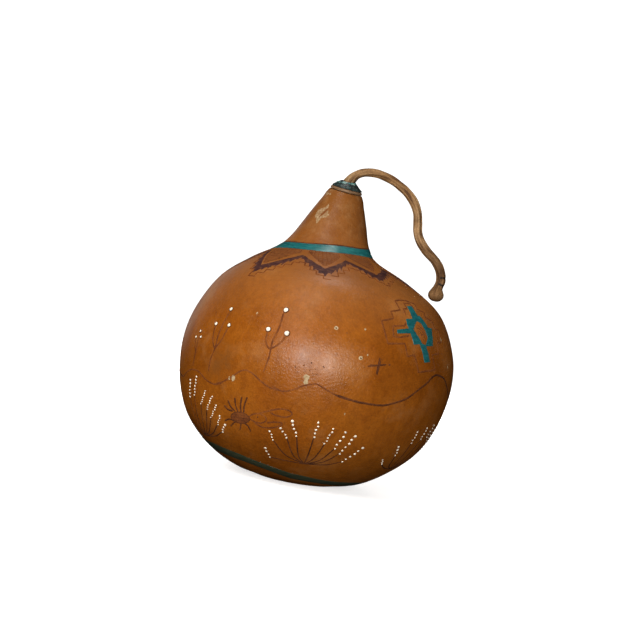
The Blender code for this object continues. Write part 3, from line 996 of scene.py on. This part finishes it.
def decorate_neck(layers):
    """The painted band, the zigzag collar and all that hangs from it, and the flaked scar above."""
    band(layers["neck_band"], neck_band, 0.16)
    band(layers["collar_zigzag"], collar_edge, 0.1, step=0.4)
    for side, lift, width in ((1, 0.5, 1.15), (-1, -0.3, 0.5)):
        path = [(a, float(neck_band(a, side)) + lift) for a in np.arange(0, 361, 4)]
        burn(layers["neck_band_edges"], path, width)
    path = []
    for angle in np.arange(0, 360, 4.0):
        length = float(collar(angle + 1) - collar_half(angle)) - 5.2
        path += [(angle, length), (angle + 4, length)]
    burn(layers["collar_steps"], path, 1.1, corners=True)
    for (before, _), (angle, length), (after, _) in zip(COLLAR[::2], COLLAR[1::2], COLLAR[2::2]):
        hatched_triangle(layers, angle, length + 7.5, 0.92 * (before - angle), 0.92 * (after - angle))
    paint(layers["neck_scar"], NECK_SCAR, 0.05, shaky=0.7)
    blot(layers["neck_scar"], -63, 251.5, 3.6, 2.0)
    blot(layers["neck_scar"], -47, 252, 1.6, 1.2)
    paint(layers["neck_scar_heart"], NECK_SCAR_HEART, 0.09, shaky=0.5)
    for stroke in NECK_SCAR_CRACKS:
        burn(layers["neck_scar_cracks"], stroke, 0.55)


# --- The belly's burnt drawing

HILLS = [
    [(-68, 87), (-60.5, 92), (-55.5, 93.5), (-50.5, 92.5), (-47, 89.5), (-41.5, 87.5), (-37, 89)],
    [
        (-40.5, 87.8), (-36.5, 90), (-32, 94.5), (-29, 98), (-26.5, 99.5), (-23.5, 98.5), (-19, 94.5),
        (-15.5, 92.2), (-12, 91.5),
    ],
    [(-15, 93.4), (-10.5, 91.5), (-6, 94), (-3, 97), (1, 99), (2.5, 98.5), (10.5, 94), (16.5, 93)],
    [
        (9, 94.8), (16.5, 93), (22, 92.6), (28.5, 93), (33.5, 95.5), (39, 99.5), (43.5, 105), (48, 110),
        (51.5, 114.5), (55, 116), (61.5, 114.5), (66, 110.5), (73, 104), (80, 98),
    ],
    [(77, 100), (84, 96), (95, 92.5), (106, 96), (114, 103), (121, 107), (129, 105), (140, 97), (150, 92.5)],
    [(145, 94.5), (152, 92), (165, 95), (174, 101), (182, 105), (190, 103.5), (203, 96), (213, 91.5)],
    [(209, 93), (217, 92), (228, 96), (239, 104), (247, 107), (256, 104), (266, 97), (278, 90.5), (292, 87)],
]
HILL_WIDTHS = [1.15, 1.15, 1.15, 1.45, 1.35, 1.1, 1.35]

# Each stalk: how wide its dots are, where they are, and its strokes
STALKS = [
    (
        2.7,
        [(-16.5, 139), (-21, 125.5), (-13.5, 125)],
        [(-17, 137), (-17, 127), (-18, 119.5), (-18, 113.5), (-18, 109), (-19, 100.5)],
        [(-21, 124), (-20.8, 119), (-19.6, 115.5), (-18, 113.8)],
        [(-13.5, 123.3), (-15, 118.5), (-17.8, 114.5)],
    ),
    (
        2.2,
        [(-41.5, 134), (-46.5, 123.5), (-39, 124)],
        [(-41.5, 132), (-42.5, 123), (-43, 115), (-43, 109), (-44.5, 101.5), (-45, 94.5)],
        [(-46.3, 121.8), (-45.7, 115), (-44.2, 110.5), (-43, 108.5)],
        [(-39, 122), (-40.5, 114.5), (-43, 108.8)],
    ),
    (
        1.5,
        [(-55.5, 117.5), (-58, 113.5), (-54, 114)],
        [(-55.5, 115.5), (-55.6, 104.5), (-56.5, 95.5)],
        [(-58, 112), (-57, 107.5), (-55.8, 105)],
    ),
]

# Each plant: its root, then its leaves as (the tip's dot, the lowest dot, how many dots)
FAN_ROOT = (4.5, 42.5)
FAN_LEAVES = [
    ((-16, 51), (-14, 43.2), 4), ((-13.5, 65), (-12, 59), 4), ((-9, 68.5), (-6, 62.5), 4),
    ((-5, 74.5), (-2, 65), 5), ((5.5, 76.5), (5.2, 66.5), 5), ((12, 74), (10.5, 63), 6),
    ((17.5, 73), (15.5, 60.5), 5), ((22, 71.5), (18.8, 57), 6), ((28, 64), (22.5, 50.5), 6),
]
LEFT_ROOT = (-60, 48)
LEFT_LEAVES = [
    ((-58.5, 86.5), (-60.5, 75.5), 6), ((-53, 89.5), (-55.5, 77.5), 7), ((-46.5, 82), (-50.5, 73), 7),
    ((-42.5, 79.5), (-46.5, 70.5), 7), ((-40, 74.5), (-44.5, 65.5), 7), ((-38.5, 68), (-41, 61.5), 5),
    ((-36.5, 62.5), (-39.3, 56.5), 4),
]
RIGHT_ROOT = (61, 46)
RIGHT_LEAVES = [
    ((44, 56), (46.5, 52), 4), ((47.5, 67.5), (50, 60.5), 4), ((54.5, 79), (54.8, 71), 5),
    ((61.5, 82), (61.5, 74), 5), ((68.5, 84), (67.5, 75.5), 5), ((75, 81), (72.5, 72.5), 5),
    ((80, 73), (76.5, 65), 5),
]


def plant(layers, root, leaves, turn=0.0, mirror=False):
    """A low plant: curved leaves from one root, each ending in a row of dots."""
    mirror_at = root[0] if mirror else None
    for tip, lowest, count in leaves:
        spread = math.hypot(math.radians(tip[0] - lowest[0]) * radius_at(tip[1]), tip[1] - lowest[1])
        widest = min(1.55, 0.6 * spread / (count - 1))
        aside = 0.45 * (lowest[0] - root[0])
        bend = (root[0] + aside * 1.35, root[1] + 0.33 * (lowest[1] - root[1]))
        burn(layers["plant_leaves"], shifted([root, bend, lowest], turn, mirror_at), 0.95)
        start, end = shifted([tip, lowest], turn, mirror_at)
        for k in range(count):
            share = k / (count - 1)
            angle = start[0] + (end[0] - start[0]) * share + 0.25 * math.sin(k * 2.2 + tip[0])
            length = start[1] + (end[1] - start[1]) * share
            width = random.uniform(0.75, 1.0) * widest * (1.15 - 0.3 * share)
            dot(layers["paint_dots"], angle, length, width)


def stalks(layers, turn=0.0):
    """Tall stalks with three prongs, each with a drop of paint at its tip."""
    for width, places, *strokes in STALKS:
        for angle, length in shifted(places, turn):
            dot(layers["paint_dots"], angle, length, width, 0.5, 16)
            dot(layers["dot_sockets"], angle + 0.15, length - 0.15, width + 0.9, 0.09, 16)
        for stroke in strokes:
            burn(layers["stalk_lines"], shifted(stroke, turn), 0.95 + 0.16 * width)


def cross(lines, angle, length):
    """A small cross of two short, heavy strokes, drawn twice over."""
    burn(lines, [(angle - 4, length - 1.2), (angle + 3.5, length + 1.6)], 1.1)
    burn(lines, [(angle - 3.2, length - 0.2), (angle + 2.6, length + 1.0)], 0.7)
    burn(lines, [(angle + 0.3, length + 5), (angle, length - 5)], 1.1)
    burn(lines, [(angle + 0.9, length + 3.4), (angle + 0.4, length - 5.4)], 0.6)
    dot(lines, angle + 4.8, length + 1.8, 1.3, 0.12)


def beetle(layers, turn=0.0):
    """A small beetle of plain strokes: a hatched body, legs, a round head and two feelers."""
    lines = layers["burnt_marks"]
    faint = layers["scorched_marks"]

    def placed(*path):
        return [(BEETLE_PLACE[0] + turn + a, BEETLE_PLACE[1] + b) for a, b in path]

    body = []
    for k in range(19):
        around = 2 * math.pi * k / 18
        body.append((4.6 * math.cos(around), 3.6 * math.sin(around) + 0.6 * math.cos(around)))
    paint(faint, placed(*body[:-1]), 0.035)
    burn(lines, placed(*body), 0.8)
    for k in range(-3, 4):
        reach = 3.3 * math.sqrt(1 - (k / 4.2) ** 2)
        burn(faint, placed((1.25 * k, -reach + 0.16 * k), (1.25 * k + 0.5, reach + 0.16 * k)), 0.6)
    for k in range(-1, 2):
        reach = 4.2 * math.sqrt(1 - (k / 3) ** 2)
        burn(lines, placed((-reach, 1.8 * k - 0.4), (reach, 1.8 * k + 0.4)), 0.45)
    for across, up, start in BEETLE_UPPER_LEGS:
        burn(lines, placed((start, 3.4), ((start + across) / 2 - 0.4, up * 0.62), (across, up)), 1.35)
    for across, down, start in BEETLE_LOWER_LEGS:
        burn(lines, placed((start, -3.2), ((start + across) / 2 + 0.3, down * 0.55), (across, down)), 1.15)
    dot(lines, *placed((8.2, 2.9))[0], 1.0, 0.12)
    for path, width in zip(BEETLE_HEAD_AND_FEELERS, (1.0, 1.15, 1.15)):
        burn(faint, placed(*path), width)


BEETLE_PLACE = (-27.5, 70)
# Each leg: how far its foot is along the body and out from it, and where it starts
BEETLE_UPPER_LEGS = [(-8, 6, -3.4), (-6, 9.5, -2.2), (-2.5, 12, -0.8), (0.8, 13.5, 0.6), (3.2, 14, 1.8)]
BEETLE_LOWER_LEGS = [(-8.5, -4.5, -3.2), (-5.5, -7.5, -1.6), (-0.5, -8.5, 0.4), (5, -8, 2)]
BEETLE_HEAD_AND_FEELERS = [
    [(4.2, 2), (6.5, 4.4), (9.5, 5.2), (11.8, 3.6), (11.6, 1.0), (9.4, -0.6), (6.6, -0.4), (4.3, 1)],
    [(8.5, 5.2), (13, 8.4), (17.5, 10.8), (21, 10.6), (22, 8.4), (19.5, 6.2), (15.5, 6.4), (13.5, 7.4)],
    [(6.5, -0.8), (10, -3), (14.5, -2.4), (18, 0.2), (18.6, 2.2), (15.5, 1.8), (12.4, 0.4)],
]

# The emblem's pieces of paint: a stepped diamond frame with four arms
EMBLEM_PATCHES = [
    [(38.8, 157.3), (42, 158), (44.4, 151), (42.4, 148), (40, 148.4)],
    [
        (35.8, 147.6), (40, 148.6), (42.6, 150.4), (43, 148.2), (41, 145.5), (39, 140.4), (36.8, 140.8),
        (36, 144),
    ],
    [(30.4, 136.8), (30.3, 139.2), (37.4, 141.8), (39.2, 140.8), (37.4, 138.6)],
    [(36.6, 141.2), (39.4, 141.8), (44.2, 133.2), (42, 132.8), (38.8, 131.8), (37.8, 137)],
    [(42, 133.6), (46.2, 133.2), (48.6, 123), (45, 122), (43.4, 129)],
    [(42.2, 148), (42.6, 151.4), (45.6, 152), (47.6, 149.6), (50, 145.2), (47, 142.6), (45.4, 146.5)],
    [(47.4, 142), (47.8, 145), (53, 145.2), (51.2, 133.4), (45.8, 132.4), (48.2, 138)],
]
EMBLEM_OUTLINES = [
    [(23, 143), (24.5, 136), (26, 129.5), (34, 131.5), (35.4, 124), (39, 125.6), (42, 115.8), (52.5, 119)],
    [(52.5, 119), (50.2, 127.8), (55.5, 129.5), (55.4, 136.4), (59.2, 137), (59.6, 145)],
    [(59.6, 145), (55, 146), (55.5, 150.6), (50, 151.8), (50.5, 155.6), (45.6, 156.6), (46, 160.5)],
    [(23, 143), (29, 146), (28, 150.5), (33.5, 153), (32, 159), (35, 160.6), (40, 161.6), (46, 160.5)],
    [(35.5, 145), (34.5, 142.8), (28.5, 141), (28.5, 134.5), (32, 134.8), (36.5, 137)],
    [(36.2, 150), (35.6, 154.5), (38.2, 155), (37.4, 159), (41.8, 159.8), (43.4, 156)],
]
EMBLEM_MARKS = [
    [(41.6, 143.2), (43.6, 142.6), (45, 141.2), (45.4, 139.8), (44, 138.8)],
    [(42.4, 145), (44.6, 143.6), (46.2, 140.6), (45.4, 137.4)],
    [(42.6, 141.4), (43.8, 140), (43.6, 138)],
]


def emblem(layers, turn=0.0):
    """The stepped diamond: its paint, the stepped lines round it, and the curls in its middle."""
    for outline in EMBLEM_PATCHES:
        paint(layers["emblem_paint"], shifted(outline, turn))
    for outline in EMBLEM_OUTLINES:
        burn(layers["emblem_lines"], shifted(outline, turn), 1.3, corners=True)
    for mark in EMBLEM_MARKS:
        burn(layers["emblem_lines"], shifted(mark, turn), 1.0)


# The lower painted band's middle round the gourd
FOOT_BAND = [
    (-90, 39.5), (-54, 38), (-34, 34.8), (-19, 30.5), (-2, 24), (21, 21.5), (60, 20.5), (100, 22),
    (140, 26), (190, 32), (230, 37), (270, 39.5),
]
FOOT_BAND_HALF = 4.2
SPECK_COUNT = 34


def foot_band(angle, side):
    middle = round_gourd(FOOT_BAND, angle)
    wavy = 0.4 * np.sin(np.radians(np.asarray(angle) * 7 + 60 * side))
    return middle + side * FOOT_BAND_HALF + wavy


# Small places where the dye has flaked off: (angle, length, width, height)
FLAKES = [
    (-2.8, 102, 3.1, 3.0), (-2.6, 99.2, 2.9, 3.4), (-31.5, 93.6, 2.6, 3.6), (-33.4, 93, 1.4, 2.0),
    (-28, 134, 1.0, 1.4), (18, 120.5, 0.9, 1.2), (16, 135.5, 1.1, 1.2), (60, 139, 1.8, 2.2),
    (65, 122, 1.2, 1.6), (14.5, 84.5, 1.0, 1.2), (147, 110, 3.2, 3.6), (171, 74, 2.4, 3.0),
    (272, 118, 2.8, 2.2),
]
PIN_HOLES = [(4.5, 133), (15.5, 118), (150, 128)]


def decorate_belly(layers):
    """The hills, plants, stalks, marks and emblem, the lower band, and the small worn places."""
    for path, width in zip(HILLS, HILL_WIDTHS):
        burn(layers["faint_hill_lines" if width < 1.2 else "hill_lines"], path, width)
    plant(layers, FAN_ROOT, FAN_LEAVES)
    plant(layers, LEFT_ROOT, LEFT_LEAVES)
    plant(layers, RIGHT_ROOT, RIGHT_LEAVES)
    plant(layers, FAN_ROOT, FAN_LEAVES, turn=120, mirror=True)
    plant(layers, FAN_ROOT, FAN_LEAVES, turn=182)
    plant(layers, FAN_ROOT, FAN_LEAVES, turn=241, mirror=True)
    for turn in (0, 150, -84):
        stalks(layers, turn)
    marks = layers["burnt_marks"]
    cross(marks, 22.7, 115.3)
    cross(marks, 158, 116)
    beetle(layers)
    beetle(layers, turn=170)
    for angle, length in ((-2, 110.5), (-7.5, 106.5), (-4.5, 108.5), (2.5, 109.5)):
        dot(marks, angle, length, 0.9, 0.1)
    for _ in range(SPECK_COUNT):
        angle = random.gauss(-1.5, 5)
        length = random.gauss(106.5, 3.4)
        dot(marks, angle, length, random.uniform(0.3, 0.6), 0.08, 8)
    emblem(layers)
    emblem(layers, turn=155)
    band(layers["foot_band"], foot_band, 0.14)
    for flake in FLAKES:
        blot(layers["bare_flakes"], *flake)
    for angle, length in PIN_HOLES:
        dot(layers["bare_flakes"], angle, length, 2.4, 0.12)
        # painted shade: a dark raised drop stands in for each pin hole's depth, and no hole is cut
        dot(layers["pin_hole_shade"], angle, length, 1.2, 0.2)


# --- The stage


def stage_look():
    look = Look("pale_floor", roughness=0.9, specular=0.1)
    look.shader.inputs["Emission Color"].default_value = (1, 1, 1, 1)
    glow = look.between(look.near((0, 0, 0), STAGE_REACH), 0, 1, WALL_GLOW, FLOOR_GLOW)
    look.feed(look.shader.inputs["Emission Strength"], glow)
    return look.finished(look.ramp(look.noise(400, 3), (0.3, 0.88), (0.7, 0.91)), None)


def stage():
    """A pale floor that curves up into a wall behind, all round."""
    shapes = Shapes()
    turns = np.arange(64) * math.pi / 32
    rows = [[(r * math.cos(a), r * math.sin(a), height) for a in turns] for r, height in STAGE_ROWS]
    count = len(turns)
    faces = []
    for k in range(len(rows) - 1):
        faces += quads_between(k * count, (k + 1) * count, count)
    faces.append(tuple(range(count)))
    shapes.add([p for row in rows for p in row], faces)
    mesh = shapes.mesh("floor", 60)
    mesh.materials.append(stage_look())
    floor = new_object("floor", mesh)
    # the floor is white to the eye, but lights the rattle no more than the dim studio round it
    floor.visible_glossy = False
    floor.visible_diffuse = False


def area_light(name, place, size, power, tall=None, glossy=True):
    """A soft warm lamp that faces the rattle. It is round unless it is given a height."""
    data = bpy.data.lights.new(name, "AREA")
    data.shape = "ELLIPSE"
    data.size = size
    data.size_y = tall or size
    data.energy = power
    data.color = LAMP_COLOUR
    light = new_object(name, data)
    light.location = place
    light.visible_camera = False
    light.visible_glossy = glossy
    light.rotation_mode = "QUATERNION"
    light.rotation_quaternion = (LAMP_TARGET - Vector(place)).to_track_quat("-Z", "Y")


def lights():
    """Two small lamps beside the camera and three more whose gleam shows, and four soft fills."""
    area_light("left_key", (-0.2, -0.83, 0.18), 0.09, 2.8, tall=0.2)
    area_light("right_key", (0.11, -0.84, 0.13), 0.09, 2.8, tall=0.2)
    area_light("high", (-0.22, -0.42, 0.95), 0.3, 0.8)
    area_light("overhead", (0.0, 0.1, 1.0), 0.2, 0.8)
    area_light("fill", (-0.4, -0.72, 0.6), 0.5, 6.5, glossy=False)
    area_light("back", (0.1, 1.5, 0.55), 0.8, 15, glossy=False)
    area_light("right_side", (1.4, 0.7, 0.6), 0.8, 4, glossy=False)
    area_light("left_side", (-1.4, 0.7, 0.6), 0.8, 4, glossy=False)
    area_light("left_rim", (-0.8, 1.2, 0.45), 0.9, 0.7)
    bpy.context.scene.view_settings.view_transform = "Standard"
    world = bpy.data.worlds.new("studio")
    bpy.context.scene.world = world
    world.use_nodes = True
    background = world.node_tree.nodes["Background"]
    background.inputs["Color"].default_value = (1, 0.93, 0.84, 1)
    background.inputs["Strength"].default_value = STUDIO_GLOW
    world.cycles_visibility.glossy = False


def camera():
    """Level with the belly, a little below the middle, and rolled so the gourd leans to the right."""
    data = bpy.data.cameras.new("camera")
    data.lens = CAMERA_LENS
    data.sensor_width = 36
    made = new_object("camera", data)
    made.location = CAMERA_PLACE
    aim = (CAMERA_TARGET - CAMERA_PLACE).to_track_quat("-Z", "Y")
    roll = Matrix.Rotation(CAMERA_ROLL, 4, "Z").to_quaternion()
    made.rotation_mode = "QUATERNION"
    made.rotation_quaternion = aim @ roll
    bpy.context.scene.camera = made


# --- All of it

camera()
lights()
stage()
gourd_rind()
neck_cap()
crown()
stem()
seeds()

turquoise = paint_look(
    "turquoise_paint", (0.003, 0.07, 0.078), (0.009, 0.125, 0.132), (0.03, 0.2, 0.2), (0.3, 0.45), 0.6
)
teal = paint_look("teal_paint", (0.003, 0.05, 0.058), (0.007, 0.095, 0.105), (0.015, 0.14, 0.15))
green = paint_look("green_paint", (0.022, 0.034, 0.02), (0.042, 0.056, 0.032), (0.08, 0.078, 0.042))
purple = paint_look(
    "purple_stain", (0.022, 0.009, 0.01), (0.052, 0.02, 0.019), (0.125, 0.05, 0.026), (0.42, 0.6), 0, 0.6, 0.2
)
rust = paint_look(
    "rust_stain", (0.1, 0.03, 0.009), (0.165, 0.055, 0.014), (0.22, 0.08, 0.018), (0.4, 0.55), 0, 0.62, 0.25
)
burnt = burnt_look("burnt_line", (0.045, 0.012, 0.004), (0.125, 0.038, 0.01))
scorched = burnt_look("scorched_line", (0.1, 0.026, 0.006), (0.21, 0.064, 0.012))
cream = dot_look()
bare = scar_look("bare_scar", (0.2, 0.115, 0.05), (0.36, 0.265, 0.15), (0.5, 0.41, 0.27))
scarred = scar_look("neck_scar", (0.17, 0.085, 0.03), (0.27, 0.165, 0.08), (0.43, 0.32, 0.19))

# Every layer of decoration: its name, its material and its slot
LAYERS = [
    ("neck_band", turquoise, "turquoise_paint"),
    ("collar_zigzag", purple, "purple_stain"),
    ("neck_band_edges", burnt, "burnt_line"),
    ("collar_steps", scorched, "burnt_line"),
    ("collar_hatching", scorched, "burnt_line"),
    ("collar_stain", rust, "purple_stain"),
    ("neck_scar", scarred, "gourd_shell"),
    ("neck_scar_heart", rust, "gourd_shell"),
    ("neck_scar_cracks", scorched, "burnt_line"),
    ("faint_hill_lines", scorched, "burnt_line"),
    ("hill_lines", burnt, "burnt_line"),
    ("plant_leaves", burnt, "burnt_line"),
    ("stalk_lines", scorched, "burnt_line"),
    ("dot_sockets", burnt, "burnt_line"),
    ("paint_dots", cream, "white_paint"),
    ("burnt_marks", burnt, "burnt_line"),
    ("scorched_marks", scorched, "burnt_line"),
    ("emblem_paint", teal, "turquoise_paint"),
    ("emblem_lines", scorched, "burnt_line"),
    ("foot_band", green, "green_paint"),
    ("bare_flakes", bare, "gourd_shell"),
    # dark drops of painted shade where the pin holes are
    ("pin_hole_shade", burnt, "burnt_line"),
]
layers = {name: Shapes() for name, _, _ in LAYERS}
decorate_neck(layers)
decorate_belly(layers)
for name, look, slot in LAYERS:
    on_rattle(name, layers[name], look)
